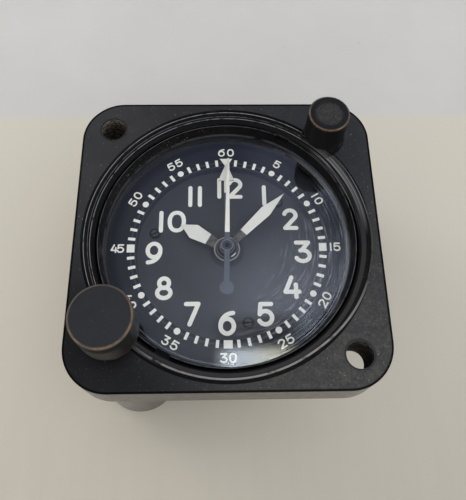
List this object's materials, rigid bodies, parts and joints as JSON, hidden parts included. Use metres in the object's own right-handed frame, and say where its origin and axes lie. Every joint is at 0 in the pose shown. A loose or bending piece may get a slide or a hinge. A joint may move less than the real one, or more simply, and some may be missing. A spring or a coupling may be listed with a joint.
{
  "type": "aircraft clock",
  "caption": "Square-flanged panel clock with a recessed dial, time hands and stopwatch hands on one centre, a pull-and-turn winding knob and a push button, with its wheel train.",
  "frame": {"origin": "on the dial axis at the rear (panel) face of the square flange, at the centre of the two mounting holes' circle", "axes": "+Z out of the dial, +Y to twelve o'clock, +X to three o'clock; the clock is stored lying on its back"},
  "size_m": [0.0604, 0.0604, 0.049],
  "materials": {
    "satin_black": "satin black paint, worn",
    "knob_black": "satin black over brass, rim worn bare",
    "button_black": "satin black over brass, rim worn bare",
    "can_black": "semi-gloss black paint",
    "steel": "turned steel",
    "brass": "turned brass",
    "spring_steel": "blued steel",
    "glass": "clear",
    "gasket": "black rubber",
    "dial_ring": "matt blue-black, white marks",
    "dial_face": "matt charcoal, white marks",
    "hand_white": "matt white, dark roots"
  },
  "bodies": {
    "case": {"front_frame": "satin_black", "case_body": "can_black", "case_screws": "steel", "retaining_ring": "satin_black", "glass": "glass", "glass_gasket": "gasket", "chapter_ring": "dial_ring", "dial": "dial_face", "dial_screws": "steel", "dial_posts": "brass", "main_plate": "brass", "plate_screws": "steel", "pillars": "brass", "rear_plate": "brass", "case_posts": "brass", "wheel_posts": "steel", "hairspring": "spring_steel", "hairspring_stud": "steel", "chrono_bridge": "brass", "bridge_posts": "brass", "bridge_screws": "steel", "rocker_bracket": "brass", "button_bush": "brass", "button_spring": "steel", "stem_bush": "brass"},
    "stem_slide": {"thrust_ring": "brass"},
    "knob": {"winding_knob": "knob_black", "winding_stem": "steel", "winding_pinion": "steel", "setting_pinion": "steel"},
    "winding_arbor": {"barrel_arbor": "steel", "ratchet_wheel": "steel"},
    "click": {"click": "steel"},
    "barrel": {"barrel": "brass", "barrel_cover": "brass", "mainspring": "spring_steel"},
    "second_wheel": {"second_wheel": "brass"},
    "centre_wheel": {"centre_wheel": "brass"},
    "third_wheel": {"third_wheel": "brass"},
    "fourth_wheel": {"fourth_wheel": "brass"},
    "escape_wheel": {"escape_wheel": "steel"},
    "pallet_lever": {"pallet_lever": "steel"},
    "balance": {"balance_wheel": "brass"},
    "minute": {"cannon_pinion": "steel", "minute_hand": "hand_white"},
    "minute_wheel": {"minute_wheel": "brass"},
    "hour": {"hour_wheel": "brass", "hour_hand": "hand_white"},
    "setting_wheel": {"setting_wheel": "steel"},
    "sweep": {"sweep_arbor": "steel", "sweep_hand": "hand_white"},
    "counter_wheel": {"counter_wheel": "brass"},
    "elapsed": {"elapsed_wheel": "brass", "elapsed_hand": "hand_white"},
    "button": {"button_cap": "button_black", "push_rod": "steel", "rod_clip": "steel"},
    "rocker": {"start_stop_rocker": "steel"}
  },
  "joints": [
    {"name": "knob_pull", "type": "slide", "parent": "case", "child": "stem_slide", "axis": [0, 0, 1], "range_m": [0, 0.0016]},
    {"name": "knob_turn", "type": "hinge", "parent": "stem_slide", "child": "knob", "pos_m": [-0.0219, -0.01885, 0], "axis": [0, 0, 1], "continuous": true},
    {"name": "winding_turn", "type": "hinge", "parent": "case", "child": "winding_arbor", "pos_m": [-0.0103, -0.00887, 0], "axis": [0, 0, 1], "continuous": true},
    {"name": "click_lift", "type": "hinge", "parent": "case", "child": "click", "pos_m": [-0.01664, 0.00473, 0], "axis": [0, 0, 1], "range_deg": [0, 8]},
    {"name": "fourth_turn", "type": "hinge", "parent": "case", "child": "fourth_wheel", "pos_m": [0.01018, 0.0068, 0], "axis": [0, 0, 1], "continuous": true},
    {"name": "third_turn", "type": "hinge", "parent": "case", "child": "third_wheel", "pos_m": [0.00985, -0.00264, 0], "axis": [0, 0, 1], "continuous": true},
    {"name": "centre_turn", "type": "hinge", "parent": "case", "child": "centre_wheel", "pos_m": [0, 0, 0], "axis": [0, 0, 1], "continuous": true},
    {"name": "second_turn", "type": "hinge", "parent": "case", "child": "second_wheel", "pos_m": [0.00171, -0.01066, 0], "axis": [0, 0, 1], "continuous": true},
    {"name": "barrel_turn", "type": "hinge", "parent": "case", "child": "barrel", "pos_m": [-0.0103, -0.00887, 0], "axis": [0, 0, 1], "continuous": true},
    {"name": "escape_turn", "type": "hinge", "parent": "case", "child": "escape_wheel", "pos_m": [0.00554, 0.01344, 0], "axis": [0, 0, 1], "continuous": true},
    {"name": "lever_rock", "type": "hinge", "parent": "case", "child": "pallet_lever", "pos_m": [-0.00055, 0.01507, 0], "axis": [0, 0, 1], "range_deg": [-4, 4]},
    {"name": "balance_swing", "type": "hinge", "parent": "case", "child": "balance", "pos_m": [-0.00812, 0.01441, 0], "axis": [0, 0, 1], "range_deg": [-135, 135]},
    {"name": "minute_turn", "type": "hinge", "parent": "case", "child": "minute", "pos_m": [0, 0, 0], "axis": [0, 0, 1], "continuous": true},
    {"name": "minute_wheel_turn", "type": "hinge", "parent": "case", "child": "minute_wheel", "pos_m": [-0.00728, -0.00626, 0], "axis": [0, 0, 1], "continuous": true},
    {"name": "hour_turn", "type": "hinge", "parent": "case", "child": "hour", "pos_m": [0, 0, 0], "axis": [0, 0, 1], "continuous": true},
    {"name": "setting_wheel_turn", "type": "hinge", "parent": "case", "child": "setting_wheel", "pos_m": [-0.01637, -0.01409, 0], "axis": [0, 0, 1], "continuous": true},
    {"name": "sweep_turn", "type": "hinge", "parent": "case", "child": "sweep", "pos_m": [0, 0, 0], "axis": [0, 0, 1], "continuous": true},
    {"name": "counter_turn", "type": "hinge", "parent": "case", "child": "counter_wheel", "pos_m": [-0.00164, 0.00931, 0], "axis": [0, 0, 1], "continuous": true},
    {"name": "elapsed_turn", "type": "hinge", "parent": "case", "child": "elapsed", "pos_m": [0, 0, 0], "axis": [0, 0, 1], "continuous": true},
    {"name": "button_push", "type": "slide", "parent": "case", "child": "button", "axis": [0, 0, -1], "range_m": [0, 0.0018], "stiffness_N_per_m": 600, "springref_m": -0.002, "deforming": ["button_spring"]},
    {"name": "rocker_tilt", "type": "hinge", "parent": "case", "child": "rocker", "pos_m": [0.01473, 0.01559, -0.0238], "axis": [-0.7269, 0.6867, 0], "range_deg": [0, 13]}
  ],
  "couplings": [
    {"joint": "winding_turn", "follows": "knob_turn", "ratio": -0.275},
    {"joint": "second_turn", "follows": "barrel_turn", "ratio": -8},
    {"joint": "centre_turn", "follows": "barrel_turn", "ratio": 24},
    {"joint": "third_turn", "follows": "barrel_turn", "ratio": -180},
    {"joint": "fourth_turn", "follows": "barrel_turn", "ratio": 1440},
    {"joint": "escape_turn", "follows": "barrel_turn", "ratio": -11520},
    {"joint": "minute_wheel_turn", "follows": "minute_turn", "ratio": -0.33333},
    {"joint": "hour_turn", "follows": "minute_turn", "ratio": 0.083333},
    {"joint": "setting_wheel_turn", "follows": "minute_turn", "ratio": 0.5},
    {"joint": "sweep_turn", "follows": "counter_turn", "ratio": -7.5},
    {"joint": "elapsed_turn", "follows": "counter_turn", "ratio": -0.125},
    {"joint": "rocker_tilt", "follows": "button_push", "rad_per_m": 119.05}
  ]
}
